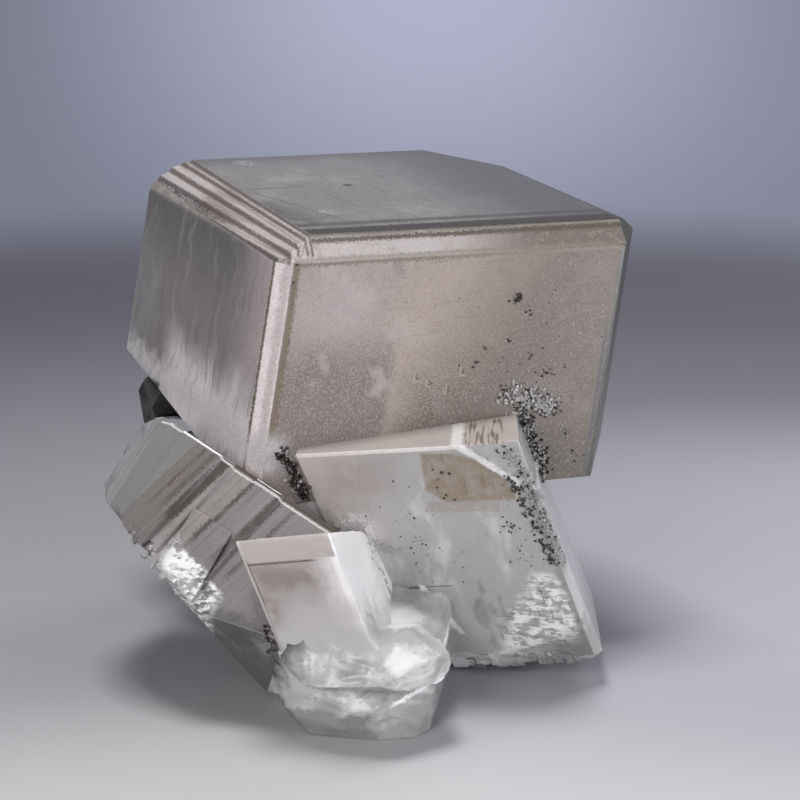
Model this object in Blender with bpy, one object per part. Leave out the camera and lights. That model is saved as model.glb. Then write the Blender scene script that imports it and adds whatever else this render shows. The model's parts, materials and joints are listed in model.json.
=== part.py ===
"""Calcite with pyrite: a large cleavage-shaped calcite block with smaller crystals grown below it.

Lengths are in millimetres until Crystal.at() or metres() turns them into metres. +Z is up, the
viewer of the best side stands at -Y, and the origin is on the flat face that the piece rests on.
The calcite crystals have grown together and are one solid. Each crust of pyrite is its own solid.
"""

import math
import random

import bmesh
import bpy
from mathutils import Euler, Matrix, Vector

MM = 0.001

# Calcite's cleavage rhomb: three edges meet at a blunt corner, each 101.92 degrees from the others.
EDGE_ANGLE = math.radians(101.92)
EDGE_LEAN = math.asin(math.sqrt((1 - math.cos(EDGE_ANGLE)) / 1.5))

# The block: right, down and back along its edges from the blunt corner at its upper left front.
BLOCK_CORNER = (-11.0, -7.8, 66.1)
BLOCK_TURN = (-132.6, -19.1, -3.4)
BLOCK_RIGHT, BLOCK_DOWN, BLOCK_BACK = 57.2, 40.5, 57.5
BAND_STEPS = (                       # (right, down) of the terraces along the upper left edge
    (0.0, 3.9), (0.35, 3.2), (1.3, 2.75), (1.45, 2.2), (2.6, 1.75), (2.75, 1.2),
    (4.0, 0.85), (4.1, 0.45), (4.85, 0.35), (4.95, 0.0),
)
BAND_WIDENING = 1.35                 # how much wider the terraces are at the back than in front
TOP_BEVEL_BACK, TOP_BEVEL_DOWN = 3.0, 3.5
TOP_BEVEL_LIP = 0.45
LEFT_BEVEL_RIGHT, LEFT_BEVEL_BACK = 1.8, 3.8
RIM_BEVEL = 2.0                      # along the upright edge at the right
TOP_RIGHT_BEVEL, TOP_RIGHT_DEPTH = 1.2, 1.4
FAR_BEVEL_TOP, FAR_BEVEL_FOOT, FAR_BEVEL_BACK = 9.5, 7.0, 19.0       # the wide facet at the far right
FOOT_BEVEL_RIGHT, FOOT_BEVEL_DOWN = 1.5, 5.5
BACK_LEFT_BEVEL = (1.6, 1.2)         # (right, back) of the bevel on the upright edge at the back
BACK_TOP_BEVEL = (1.3, 1.8)          # (down, back) of the bevel on the top's far edge
LOW_BREAK = ((0, 33.0, 57.5), (0, 35.4, 37.0), (14.0, 40.5, 50.0))   # the broken low corner at the back
PIT_PLACES = (                       # (right, down, size) of the etch pits on the front face
    (38.4, 10.6, 1.3), (40.7, 13.2, 0.9), (37.7, 17.5, 0.8), (34.0, 18.3, 0.9),
    (32.9, 20.4, 0.8), (41.7, 20.1, 0.7), (45.1, 22.8, 0.9), (23.8, 22.2, 0.8),
    (26.0, 23.2, 0.9), (28.9, 24.7, 0.9), (30.8, 21.8, 0.8),
)
PIT_DEPTH = 0.5
PIT_LEAN = 0.2                       # how far a pit's second corner is down, in the pit's sizes
PIT_SIDE = 0.3                       # how far its third corner is right
PIT_TIP = 0.4                        # how far its deepest point is right and down

# The middle crystal: back, up and right from the blunt corner at its lower left front.
MIDDLE_CORNER = (4.3, -11.8, 0.1)
MIDDLE_TURN = (35.0, 26.2, 102.0)
MIDDLE_BACK, MIDDLE_UP, MIDDLE_RIGHT = 34.0, 38.3, 34.1
CORNER_FACET_UP, CORNER_FACET_RIGHT = 28.6, 25.3     # where it starts on the right and top edges
CORNER_FACET_BACK = 1.6
SIDE_BEVEL_FOOT, SIDE_BEVEL_TOP, SIDE_BEVEL_BACK = 1.6, 0.9, 1.8
HEEL_BEVEL_UP, HEEL_BEVEL_RIGHT, HEEL_BEVEL_FAR = 0.9, 2.2, 1.0
FLAKE = ((14.2, 4.0), (14.1, 10.3), (10.4, 10.8), (6.4, 13.0), (4.3, 9.8), (3.0, 3.0))
FLAKE_PROUD, FLAKE_ROOT = 0.7, 3.0

# The front crystal, by the same directions as the middle one.
FRONT_CORNER = (-9.0, -39.0, 7.1)
FRONT_TURN = (36.9, 38.7, 95.0)
FRONT_BACK, FRONT_UP, FRONT_RIGHT = 30.0, 22.9, 14.7
FRONT_STRIP_BACK, FRONT_STRIP_DOWN = 0.8, 3.4
FRONT_EDGE_RIGHT, FRONT_EDGE_BACK = 0.9, 1.0
FRONT_FAR_BACK, FRONT_FAR_DOWN = 7.0, 3.5            # the facet at the far end of the top

# The left crystal: back, up and right from the blunt corner at its lower left.
LEFT_CORNER = (-41.4, -22.5, 22.0)
LEFT_TURN = (116.5, 42.7, 142.7)
LEFT_BACK, LEFT_UP, LEFT_RIGHT = 22.0, 26.0, 36.0
LEFT_STEPS = (                       # (right at its foot, right at its top, back) of its growth steps
    (-5.3, -5.3, 10.0), (-4.6, -4.6, 7.4), (-3.4, -3.4, 5.0), (-1.7, -1.7, 2.6), (-0.2, -0.2, 1.1),
    (1.5, 1.5, 0.35), (2.0, 4.0, 0.35), (2.4, 4.4, 0.0),
    (6.6, 12.3, 0.0), (7.1, 12.8, 0.6), (9.0, 14.7, 0.7), (9.4, 15.1, 1.2), (13.3, 19.0, 1.2),
    (13.6, 19.3, 0.9), (18.5, 24.2, 0.9), (19.0, 24.7, 1.5), (36.0, 36.0, 1.5),
)
LEFT_TOP_BEVEL, LEFT_TOP_BACK = 0.9, 1.4
LEFT_LEDGE_UP, LEFT_LEDGE_RIGHT, LEFT_LEDGE_WIDTH = 16.0, 12.6, 7.6
LEFT_LEDGE_FOOT, LEFT_LEDGE_FACE, LEFT_LEDGE_ROOT = 2.0, 0.25, 8.0
# The planes of its breaks, each by three places: under it, at its lower right and at its lower left.
# The first two are in (back, up, right) along its edges.
LEFT_BREAK = ((0, 8.0, 0), (0, 2.2, 24.1), (15.8, 18.1, 3.5))
LEFT_HEEL_BREAK = ((0, 3.0, 19.0), (0, 6.6, 32.0), (8.0, 4.4, 26.0))
LEFT_CORNER_BREAKS = (               # in the whole piece's millimetres
    ((-36.6, -19.6, 26.6), (-38.3, -18.2, 28.1), (-40.8, -2.9, 23.3)),
    ((-38.3, -18.2, 28.1), (-38.0, -17.6, 30.5), (-40.8, -2.9, 23.3)),
)

# Places on the broken surfaces, from the lowest up. Those at -1 are below the flat cut at 0.
FOOT_CHIPS, SKIRT_CHIPS, SHOULDER_CHIPS = 12, 10, 14
FOOT = (
    (-6.5, -38.0, -1.0), (3.0, -40.0, -1.0), (8.0, -39.3, -1.0), (10.2, -36.5, -1.0),
    (12.0, -24.0, -1.0), (14.0, -10.0, -1.0), (0.0, 0.0, -1.0), (-14.0, -12.0, -1.0),
    (-11.5, -27.0, -1.0), (-8.3, -32.8, -1.0), (-7.8, -40.2, 4.1), (3.0, -42.0, 5.0),
    (-10.5, -37.5, 4.5), (11.0, -38.5, 8.5), (-13.8, -34.1, 12.0), (-8.0, -38.0, 12.5),
    (14.0, -15.0, 14.0), (-12.0, -10.0, 16.0),
)
SKIRT = (
    (-7.9, -43.0, 9.0), (3.9, -45.6, 10.2), (6.3, -44.2, 9.0), (11.8, -40.6, 8.7),
    (14.0, -38.9, 11.2), (10.8, -39.8, 13.4), (1.4, -43.4, 15.4), (-10.2, -38.6, 12.8),
    (-13.5, -37.0, 12.0), (10.0, -25.0, 12.0), (-8.0, -25.0, 12.0), (7.0, -36.0, 15.0),
)
SHOULDER = (
    (-31.4, -18.7, 20.3), (-28.1, -20.2, 15.5), (-22.9, -23.3, 10.8), (-19.0, -26.5, 8.6),
    (-15.4, -29.8, 5.7), (-13.4, -32.3, 4.0), (-10.0, -36.0, 5.0), (-16.6, -27.8, 20.0),
    (-13.5, -35.0, 14.0), (-26.6, 4.5, 11.7), (-20.0, 0.0, -1.0), (-12.0, 0.0, -1.0),
    (-16.0, -16.0, -1.0), (-11.5, -27.0, -1.0), (-26.0, 8.0, 28.0), (-12.0, -8.0, 30.0), (-5.0, -5.0, 16.0),
)
# Cleavage steps of the broken mass under the block, from its back round to its left side:
# (back, up, right) of the near and the far corner along the middle crystal's edges.
CORE_STEPS = (
    ((1.5, -8.0, -13.0), (36.0, 29.5, 15.0)),
    ((9.0, -8.7, -24.0), (44.5, 33.1, 13.0)),
    ((10.5, -9.3, -19.0), (31.0, 28.0, 24.0)),
    ((18.0, -10.1, -27.0), (39.0, 35.2, 17.0)),
    ((21.0, -10.9, -11.3), (49.0, 24.3, 6.0)),
)
SMALL_CRYSTAL = (
    (-37.8, 24.4, 29.4), (-35.4, 21.7, 31.1), (-36.0, 21.6, 33.2), (-38.8, 25.8, 35.0),
    (-34.8, 22.8, 35.4), (-37.5, 26.3, 37.2), (-28.0, 28.0, 30.0), (-33.0, 34.0, 31.0),
    (-31.0, 34.0, 37.0), (-28.0, 26.0, 37.0),
)

# Paths of the pyrite crusts: (right, down) on the block's front, (up, right) on the middle crystal.
SEAM_PATH = ((4.4, 33.2), (5.7, 35.4), (7.0, 37.3), (8.1, 38.9))
PATCH_PATH = (
    (39.0, 26.9), (41.2, 25.8), (44.7, 26.8), (47.2, 28.9), (45.4, 29.0), (43.0, 27.2),
    (40.8, 28.0), (43.6, 29.8), (43.6, 31.6), (45.2, 34.0), (46.6, 36.4), (47.6, 38.4),
)
RIM_PATH = ((29.2, 31.4), (25.4, 31.7), (21.4, 31.5), (17.4, 31.8))

# Pyrite crusts: how far they stand off the calcite, and their grains' sizes and spread.
CRUST_GAP = 0.35
SEAM_GRAIN, PATCH_GRAIN, RIM_GRAIN = 1.0, 0.9, 0.9
GRAIN_STEP = 0.55                    # from one grain to the next, in grain sizes
GRAIN_SPREAD = 0.2                   # to each side of the path, in grain sizes
GRAIN_TILT = 7                       # degrees

CUTTER_SIZE, CUTTER_DEPTH = 200, 20  # the block that cuts the piece off flat at its foot


def metres(place):
    return Vector(place) * MM


class Crystal:
    """A calcite rhomb's own directions: the three edges that leave one blunt corner."""

    def __init__(self, corner, turn):
        self.corner = Vector(corner)
        turned = Euler([math.radians(angle) for angle in turn]).to_matrix()
        self.edges = []
        for third in range(3):
            around = math.radians(120 * third)
            sideways = math.sin(EDGE_LEAN)
            edge = (sideways * math.cos(around), sideways * math.sin(around), math.cos(EDGE_LEAN))
            self.edges.append(turned @ Vector(edge))

    def at(self, *steps):
        """The place reached by so many millimetres along each edge, in metres."""
        place = self.corner.copy()
        for edge, step in zip(self.edges, steps):
            place += edge * step
        return place * MM


def material(name, colour, roughness, metallic=0.0):
    made = bpy.data.materials.new(name)
    made.use_nodes = True
    shader = made.node_tree.nodes["Principled BSDF"]
    shader.inputs["Base Color"].default_value = (*colour, 1)
    shader.inputs["Roughness"].default_value = roughness
    shader.inputs["Metallic"].default_value = metallic
    return made


def add_object(name, bm, finish=None):
    bmesh.ops.recalc_face_normals(bm, faces=bm.faces)
    mesh = bpy.data.meshes.new(name)
    bm.to_mesh(mesh)
    bm.free()
    made = bpy.data.objects.new(name, mesh)
    bpy.context.scene.collection.objects.link(made)
    if finish:
        mesh.materials.append(finish)
    return made


def loft(bm, first, last):
    """A closed solid between two rings of the same number of points."""
    rings = [[bm.verts.new(place) for place in ring] for ring in (first, last)]
    bm.faces.new(rings[0])
    bm.faces.new(rings[1])
    count = len(first)
    for i in range(count):
        after = (i + 1) % count
        bm.faces.new((rings[0][i], rings[0][after], rings[1][after], rings[1][i]))


def place_on(crystal, along, step, pair):
    """The place at `step` along one edge, with the two other edges' steps given as a pair."""
    steps = list(pair)
    steps.insert(along, step)
    return crystal.at(*steps)


def prism(crystal, along, start, end, outline):
    """An outline across two of the crystal's edges, drawn out along the third."""
    bm = bmesh.new()
    first = [place_on(crystal, along, start, pair) for pair in outline]
    last = [place_on(crystal, along, end, pair) for pair in outline]
    loft(bm, first, last)
    return bm


def rhomb(crystal, sizes, start=(0, 0, 0)):
    (x0, y0, z0), (x1, y1, z1) = start, sizes
    return prism(crystal, 2, z0, z1, ((x0, y0), (x1, y0), (x1, y1), (x0, y1)))


def trim(bm, a, b, c, kept):
    """Cuts the solid flat along the plane of three places and keeps the side of the fourth."""
    normal = (b - a).cross(c - a).normalized()
    if normal.dot(kept - a) > 0:
        normal = -normal
    parts = bm.verts[:] + bm.edges[:] + bm.faces[:]
    bmesh.ops.bisect_plane(bm, geom=parts, plane_co=a, plane_no=normal, clear_outer=True, dist=1e-7)
    rim = [edge for edge in bm.edges if edge.is_boundary]
    if rim:
        bmesh.ops.edgeloop_fill(bm, edges=rim)


def broken(places, chips, seed):
    """A lump with a broken surface: the hull of some places, with flat chips off its corners."""
    bm = bmesh.new()
    for place in places:
        bm.verts.new(metres(place))
    hull = bmesh.ops.convex_hull(bm, input=bm.verts[:])
    loose = [v for v in hull["geom_interior"] if isinstance(v, bmesh.types.BMVert)]
    bmesh.ops.delete(bm, geom=loose, context="VERTS")
    middle = sum((metres(place) for place in places), Vector()) / len(places)
    draw = random.Random(seed)
    for _ in range(chips):
        toward = Vector((draw.uniform(-1, 1), draw.uniform(-1, 1), draw.uniform(-0.5, 1))).normalized()
        reach = max((v.co - middle).dot(toward) for v in bm.verts)
        across = toward.orthogonal().normalized()
        point = middle + toward * (reach - draw.uniform(0.3, 1.1) * MM)
        trim(bm, point, point + across * MM, point + across.cross(toward) * MM, middle)
    return bm


def guide(made):
    """Keeps a solid that is only joined to another, or cut out of it, out of the model itself."""
    made.hide_render = True
    made.display_type = "WIRE"
    return made


def combine(target, other, operation):
    step = target.modifiers.new(other.name, "BOOLEAN")
    step.operation = operation
    step.solver = "EXACT"
    step.object = guide(other)


def block():
    crystal = Crystal(BLOCK_CORNER, BLOCK_TURN)
    right, down, back = BLOCK_RIGHT, BLOCK_DOWN, BLOCK_BACK
    outline = list(BAND_STEPS)
    outline += [(right, 0), (right, down), (0, down)]
    bm = bmesh.new()
    first = [crystal.at(r, d, 0) for r, d in outline]
    last = []
    for i, (r, d) in enumerate(outline):
        wider = BAND_WIDENING if i < len(BAND_STEPS) else 1
        last.append(crystal.at(r * wider, d * wider, back))
    loft(bm, first, last)
    inside = crystal.at(right / 2, down / 2, back / 2)
    corner_right, corner_back = BACK_LEFT_BEVEL
    far_down, far_back = BACK_TOP_BEVEL
    rim, top_right, low_right = right - RIM_BEVEL, right - TOP_RIGHT_BEVEL, right - FOOT_BEVEL_RIGHT
    far_top, far_foot = right - FAR_BEVEL_TOP, right - FAR_BEVEL_FOOT
    cuts = (
        ((0, TOP_BEVEL_DOWN, 0), (right, TOP_BEVEL_DOWN, 0), (0, TOP_BEVEL_LIP, TOP_BEVEL_BACK)),
        ((LEFT_BEVEL_RIGHT, 0, 0), (LEFT_BEVEL_RIGHT, down, 0), (0, 0, LEFT_BEVEL_BACK)),
        ((rim, 0, 0), (rim, down, 0), (right, 0, RIM_BEVEL)),
        ((top_right, 0, 0), (top_right, 0, back), (right, TOP_RIGHT_DEPTH, 0)),
        ((far_top, 0, back), (far_foot, down, back), (right, 0, back - FAR_BEVEL_BACK)),
        ((low_right, down, 0), (right, down - FOOT_BEVEL_DOWN, 0), (low_right, down, back)),
        LOW_BREAK,
        ((0, 0, back - corner_back), (0, down, back - corner_back), (corner_right, 0, back)),
        ((0, 0, back - far_back), (right, 0, back - far_back), (0, far_down, back)),
    )
    for cut in cuts:
        trim(bm, *(crystal.at(*steps) for steps in cut), inside)
    return crystal, add_object("calcite", bm, material("calcite", (0.52, 0.49, 0.45), 0.35))


def etch_pits(crystal):
    """Small three-sided pits in the block's front face, in one cutter."""
    bm = bmesh.new()
    for right, down, size in PIT_PLACES:
        corners = ((0, 0), (size, PIT_LEAN * size), (PIT_SIDE * size, size))
        rims = [bm.verts.new(crystal.at(right + r, down + d, -PIT_DEPTH)) for r, d in corners]
        tip = bm.verts.new(crystal.at(right + PIT_TIP * size, down + PIT_TIP * size, PIT_DEPTH))
        bm.faces.new(rims)
        for i in range(3):
            bm.faces.new((rims[i], rims[(i + 1) % 3], tip))
    return add_object("etch_pits", bm)


def middle_crystal():
    crystal = Crystal(MIDDLE_CORNER, MIDDLE_TURN)
    back, up, right = MIDDLE_BACK, MIDDLE_UP, MIDDLE_RIGHT
    bm = rhomb(crystal, (back, up, right))
    inside = crystal.at(back / 2, up / 2, right / 2)
    cuts = (
        ((0, 0, right - SIDE_BEVEL_FOOT), (0, up, right - SIDE_BEVEL_TOP), (SIDE_BEVEL_BACK, 0, right)),
        ((0, HEEL_BEVEL_UP, right), (0, 0, right - HEEL_BEVEL_RIGHT), (back, 0, right - HEEL_BEVEL_FAR)),
        ((0, up, CORNER_FACET_RIGHT), (0, CORNER_FACET_UP, right), (CORNER_FACET_BACK, up, right)),
    )
    for cut in cuts:
        trim(bm, *(crystal.at(*steps) for steps in cut), inside)
    return crystal, add_object("middle_crystal", bm)


def front_crystal():
    crystal = Crystal(FRONT_CORNER, FRONT_TURN)
    back, up, right = FRONT_BACK, FRONT_UP, FRONT_RIGHT
    bm = rhomb(crystal, (back, up, right))
    inside = crystal.at(back / 2, up / 2, right / 2)
    strip_foot, far_back = up - FRONT_STRIP_DOWN, back - FRONT_FAR_BACK
    cuts = (
        ((0, strip_foot, 0), (0, strip_foot, right), (FRONT_STRIP_BACK, up, 0)),
        ((0, 0, FRONT_EDGE_RIGHT), (0, up, FRONT_EDGE_RIGHT), (FRONT_EDGE_BACK, 0, 0)),
        ((far_back, up, right), (back, up - FRONT_FAR_DOWN, right), (far_back, up, 0)),
    )
    for cut in cuts:
        trim(bm, *(crystal.at(*steps) for steps in cut), inside)
    return add_object("front_crystal", bm)


def left_crystal():
    crystal = Crystal(LEFT_CORNER, LEFT_TURN)
    back, up, right = LEFT_BACK, LEFT_UP, LEFT_RIGHT
    ends = ((back, right), (back, 0))
    foot = [(step_back, step_right) for step_right, _, step_back in LEFT_STEPS]
    top = [(step_back, step_right) for _, step_right, step_back in LEFT_STEPS]
    bm = bmesh.new()
    loft(bm, [crystal.at(b, 0, r) for b, r in (*foot, *ends)],
         [crystal.at(b, up, r) for b, r in (*top, *ends)])
    bevel_foot = up - LEFT_TOP_BEVEL
    top_bevel = ((0, bevel_foot, 0), (0, bevel_foot, right), (LEFT_TOP_BACK, up, 0))
    inside = crystal.at(back / 2, bevel_foot, right / 2)
    for cut in (top_bevel, LEFT_BREAK, LEFT_HEEL_BREAK):
        trim(bm, *(crystal.at(*steps) for steps in cut), inside)
    for places in LEFT_CORNER_BREAKS:
        trim(bm, *(metres(place) for place in places), inside)
    return crystal, add_object("left_crystal", bm)


def left_ledge(crystal):
    """The thicker lower half of one growth step, which ends upwards in a ledge."""
    right = LEFT_LEDGE_RIGHT
    far = (LEFT_LEDGE_ROOT, LEFT_LEDGE_UP, right + LEFT_LEDGE_WIDTH)
    bm = rhomb(crystal, far, (LEFT_LEDGE_FACE, LEFT_LEDGE_FOOT, right))
    inside = crystal.at(LEFT_LEDGE_ROOT / 2, LEFT_LEDGE_UP, right)
    trim(bm, *(crystal.at(*steps) for steps in LEFT_BREAK), inside)
    return add_object("left_ledge", bm)


def grain_shape(draw, base, normal, across, grain):
    """Where one cube of a crust stands, how it is turned and how large it is, as one matrix."""
    size = grain * draw.uniform(0.85, 1.25) * MM
    tall = size * draw.uniform(0.7, 1.0)
    centre = base + normal * ((CRUST_GAP + draw.uniform(0.1, 0.25)) * MM + tall / 2)
    tilt = Matrix.Rotation(math.radians(draw.uniform(-GRAIN_TILT, GRAIN_TILT)), 4, across)
    spin = Matrix.Rotation(draw.uniform(0, math.pi), 4, normal)
    upright = normal.to_track_quat("Z", "Y").to_matrix().to_4x4()
    return Matrix.Translation(centre) @ tilt @ spin @ upright @ Matrix.Diagonal((size, size, tall, 1))


def crust(name, crystal, face, path, grain, seed, finish):
    """Pyrite cubes grown out of each other along a path on one crystal face."""
    across = [edge for i, edge in enumerate(crystal.edges) if i != face]
    normal = across[0].cross(across[1]).normalized()
    if normal.dot(crystal.edges[face]) > 0:
        normal = -normal
    draw = random.Random(seed)
    cubes = bpy.data.collections.new(name + "_grains")
    bpy.context.scene.collection.children.link(cubes)
    first = None
    for start, end in zip(path, path[1:]):
        steps = max(1, round(math.dist(start, end) / (GRAIN_STEP * grain)))
        for i in range(steps):
            spread = [draw.uniform(-GRAIN_SPREAD, GRAIN_SPREAD) * grain for _ in range(2)]
            spot = [a + (b - a) * i / steps + off for a, b, off in zip(start, end, spread)]
            base = place_on(crystal, face, 0, spot)
            bm = bmesh.new()
            bmesh.ops.create_cube(bm, size=1, matrix=grain_shape(draw, base, normal, across[0], grain))
            if first is None:
                first = add_object(name, bm, finish)
            else:
                cube = guide(add_object(name + "_grain", bm))
                bpy.context.scene.collection.objects.unlink(cube)
                cubes.objects.link(cube)
    step = first.modifiers.new("grains", "BOOLEAN")
    step.operation = "UNION"
    step.solver = "EXACT"
    step.operand_type = "COLLECTION"
    step.collection = cubes


def ground_cutter():
    bm = bmesh.new()
    shape = Matrix.Diagonal((CUTTER_SIZE * MM, CUTTER_SIZE * MM, CUTTER_DEPTH * MM, 1))
    bmesh.ops.create_cube(bm, size=1, matrix=Matrix.Translation(metres((0, 0, -CUTTER_DEPTH / 2))) @ shape)
    return add_object("ground_cutter", bm)


def main():
    for item in list(bpy.data.objects):
        bpy.data.objects.remove(item)
    block_crystal, calcite = block()
    middle_directions, middle = middle_crystal()
    left_directions, left = left_crystal()
    flake = prism(middle_directions, 0, -FLAKE_PROUD, FLAKE_ROOT, FLAKE)
    combine(calcite, etch_pits(block_crystal), "DIFFERENCE")
    for near, far in CORE_STEPS:
        combine(calcite, add_object("core_step", rhomb(middle_directions, far, near)), "UNION")
    combine(calcite, add_object("shoulder", broken(SHOULDER, SHOULDER_CHIPS, 5)), "UNION")
    combine(calcite, add_object("foot", broken(FOOT, FOOT_CHIPS, 8)), "UNION")
    combine(calcite, middle, "UNION")
    combine(calcite, add_object("flake", flake), "UNION")
    combine(calcite, front_crystal(), "UNION")
    combine(calcite, add_object("skirt", broken(SKIRT, SKIRT_CHIPS, 2)), "UNION")
    combine(calcite, left, "UNION")
    combine(calcite, left_ledge(left_directions), "UNION")
    combine(calcite, add_object("small_crystal", broken(SMALL_CRYSTAL, 0, 1)), "UNION")
    combine(calcite, ground_cutter(), "DIFFERENCE")
    pyrite = material("pyrite", (0.07, 0.065, 0.055), 0.4, 0.9)
    crust("pyrite_seam", block_crystal, 2, SEAM_PATH, SEAM_GRAIN, 11, pyrite)
    crust("pyrite_patch", block_crystal, 2, PATCH_PATH, PATCH_GRAIN, 12, pyrite)
    crust("pyrite_rim", middle_directions, 0, RIM_PATH, RIM_GRAIN, 13, pyrite)


main()
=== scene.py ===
# %% [markdown]
# A cabinet specimen of calcite with pyrite: one big cleavage-shaped block on four smaller crystals,
# all grown together. Calcite is clear inside, but dust, veils and old breaks make most of it milky.
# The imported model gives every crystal's place. This scene gives it edges, breaks, colour and grains.

# %% The frame
import json
import math
import random

import bmesh
import bpy
from mathutils import Euler, Matrix, Vector, noise
from mathutils.bvhtree import BVHTree

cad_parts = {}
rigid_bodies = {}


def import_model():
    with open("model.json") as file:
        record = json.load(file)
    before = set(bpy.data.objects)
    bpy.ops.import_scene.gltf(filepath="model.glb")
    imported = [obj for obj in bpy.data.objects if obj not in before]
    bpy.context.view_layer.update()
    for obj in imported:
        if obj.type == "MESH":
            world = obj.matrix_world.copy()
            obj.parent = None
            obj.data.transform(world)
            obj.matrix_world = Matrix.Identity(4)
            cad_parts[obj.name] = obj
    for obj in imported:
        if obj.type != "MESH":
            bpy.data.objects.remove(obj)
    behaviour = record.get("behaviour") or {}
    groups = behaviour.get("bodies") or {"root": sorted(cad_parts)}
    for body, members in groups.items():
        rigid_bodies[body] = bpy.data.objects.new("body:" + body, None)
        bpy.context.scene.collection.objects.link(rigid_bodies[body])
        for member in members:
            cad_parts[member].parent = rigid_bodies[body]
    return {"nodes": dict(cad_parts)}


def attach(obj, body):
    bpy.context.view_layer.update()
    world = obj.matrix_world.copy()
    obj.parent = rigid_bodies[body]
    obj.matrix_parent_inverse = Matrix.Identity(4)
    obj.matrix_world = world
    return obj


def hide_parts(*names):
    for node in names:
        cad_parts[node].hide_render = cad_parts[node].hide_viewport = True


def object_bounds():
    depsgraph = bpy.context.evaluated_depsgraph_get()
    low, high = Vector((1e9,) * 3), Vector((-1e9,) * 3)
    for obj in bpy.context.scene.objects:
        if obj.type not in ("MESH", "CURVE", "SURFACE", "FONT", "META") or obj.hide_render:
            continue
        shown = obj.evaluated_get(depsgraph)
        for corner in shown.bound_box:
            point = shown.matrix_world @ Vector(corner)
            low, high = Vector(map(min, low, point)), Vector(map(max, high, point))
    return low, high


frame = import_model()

MM = 0.001
cad_box = [list(corner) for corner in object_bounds()]
scene = bpy.context.scene
scene.view_settings.view_transform = "Standard"


def deselect():
    for item in bpy.context.selected_objects:
        item.select_set(False)


def pick(item):
    """Makes one object the only selected one and the active one."""
    deselect()
    item.select_set(True)
    bpy.context.view_layer.objects.active = item
    return item


def linear(*rgb):
    """A colour named by its 0 to 255 screen values, as the linear numbers that a shader takes."""
    shares = [value / 255 for value in rgb]
    return tuple(s / 12.92 if s <= 0.04045 else ((s + 0.055) / 1.055) ** 2.4 for s in shares)


print("CAD box, mm:", [[round(value / MM, 1) for value in corner] for corner in cad_box])

# %% [markdown]
# The camera looks a little down on the specimen from the front, as one looks at a piece on a shelf.
# A long lens keeps the crystal edges nearly parallel, which is how cleavage shapes are best shown.

# %% Camera
CAMERA_PLACE = (0.006, -0.290, 0.112)
CAMERA_PITCH = 14.0
CAMERA_LENS, CAMERA_SENSOR = 85.5, 36.0

camera = bpy.data.objects.new("camera", bpy.data.cameras.new("camera"))
scene.collection.objects.link(camera)
camera.location = CAMERA_PLACE
camera.rotation_euler = (math.radians(90 - CAMERA_PITCH), 0, 0)
camera.data.lens = CAMERA_LENS
camera.data.sensor_width = CAMERA_SENSOR
scene.camera = camera
print("camera set,", CAMERA_LENS, "mm lens")

# %% [markdown]
# Shader maths reads like plain sums here. A Value wraps one socket, and Python's own signs add the
# Math nodes between them. Every other node comes from Finish.node, which takes the node's type, its
# settings and what its sockets get.

# %% A small language for node trees


class Value:
    """A socket that Python's signs can calculate with."""

    def __init__(self, finish, socket):
        self.finish = finish
        self.socket = socket

    def maths(self, operation, *numbers):
        return self.finish.node("ShaderNodeMath", {"operation": operation}, dict(enumerate(numbers)))

    def __add__(self, other):
        return self.maths("ADD", self, other)

    def __radd__(self, other):
        return self.maths("ADD", other, self)

    def __sub__(self, other):
        return self.maths("SUBTRACT", self, other)

    def __rsub__(self, other):
        return self.maths("SUBTRACT", other, self)

    def __mul__(self, other):
        return self.maths("MULTIPLY", self, other)

    def __rmul__(self, other):
        return self.maths("MULTIPLY", other, self)

    def __truediv__(self, other):
        return self.maths("DIVIDE", self, other)

    def __pow__(self, other):
        return self.maths("POWER", self, other)

    def __abs__(self):
        return self.maths("ABSOLUTE", self)

    def least(self, other):
        return self.maths("MINIMUM", self, other)

    def most(self, other):
        return self.maths("MAXIMUM", self, other)

    def rise(self, start, end):
        """0 before start and 1 after end, with a smooth slope between. It falls if end is lower."""
        if start < end:
            low, high, first, last = start, end, 0.0, 1.0
        else:
            low, high, first, last = end, start, 1.0, 0.0
        settings = {"interpolation_type": "SMOOTHSTEP"}
        return self.finish.node("ShaderNodeMapRange", settings, {0: self, 1: low, 2: high, 3: first, 4: last})

    def near(self, place, reach, soft):
        """1 within reach of a place, falling to 0 over a soft edge."""
        return abs(self - place).rise(reach + soft, reach)

    def between(self, start, end, soft):
        return self.near((start + end) / 2, (end - start) / 2, soft)


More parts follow.
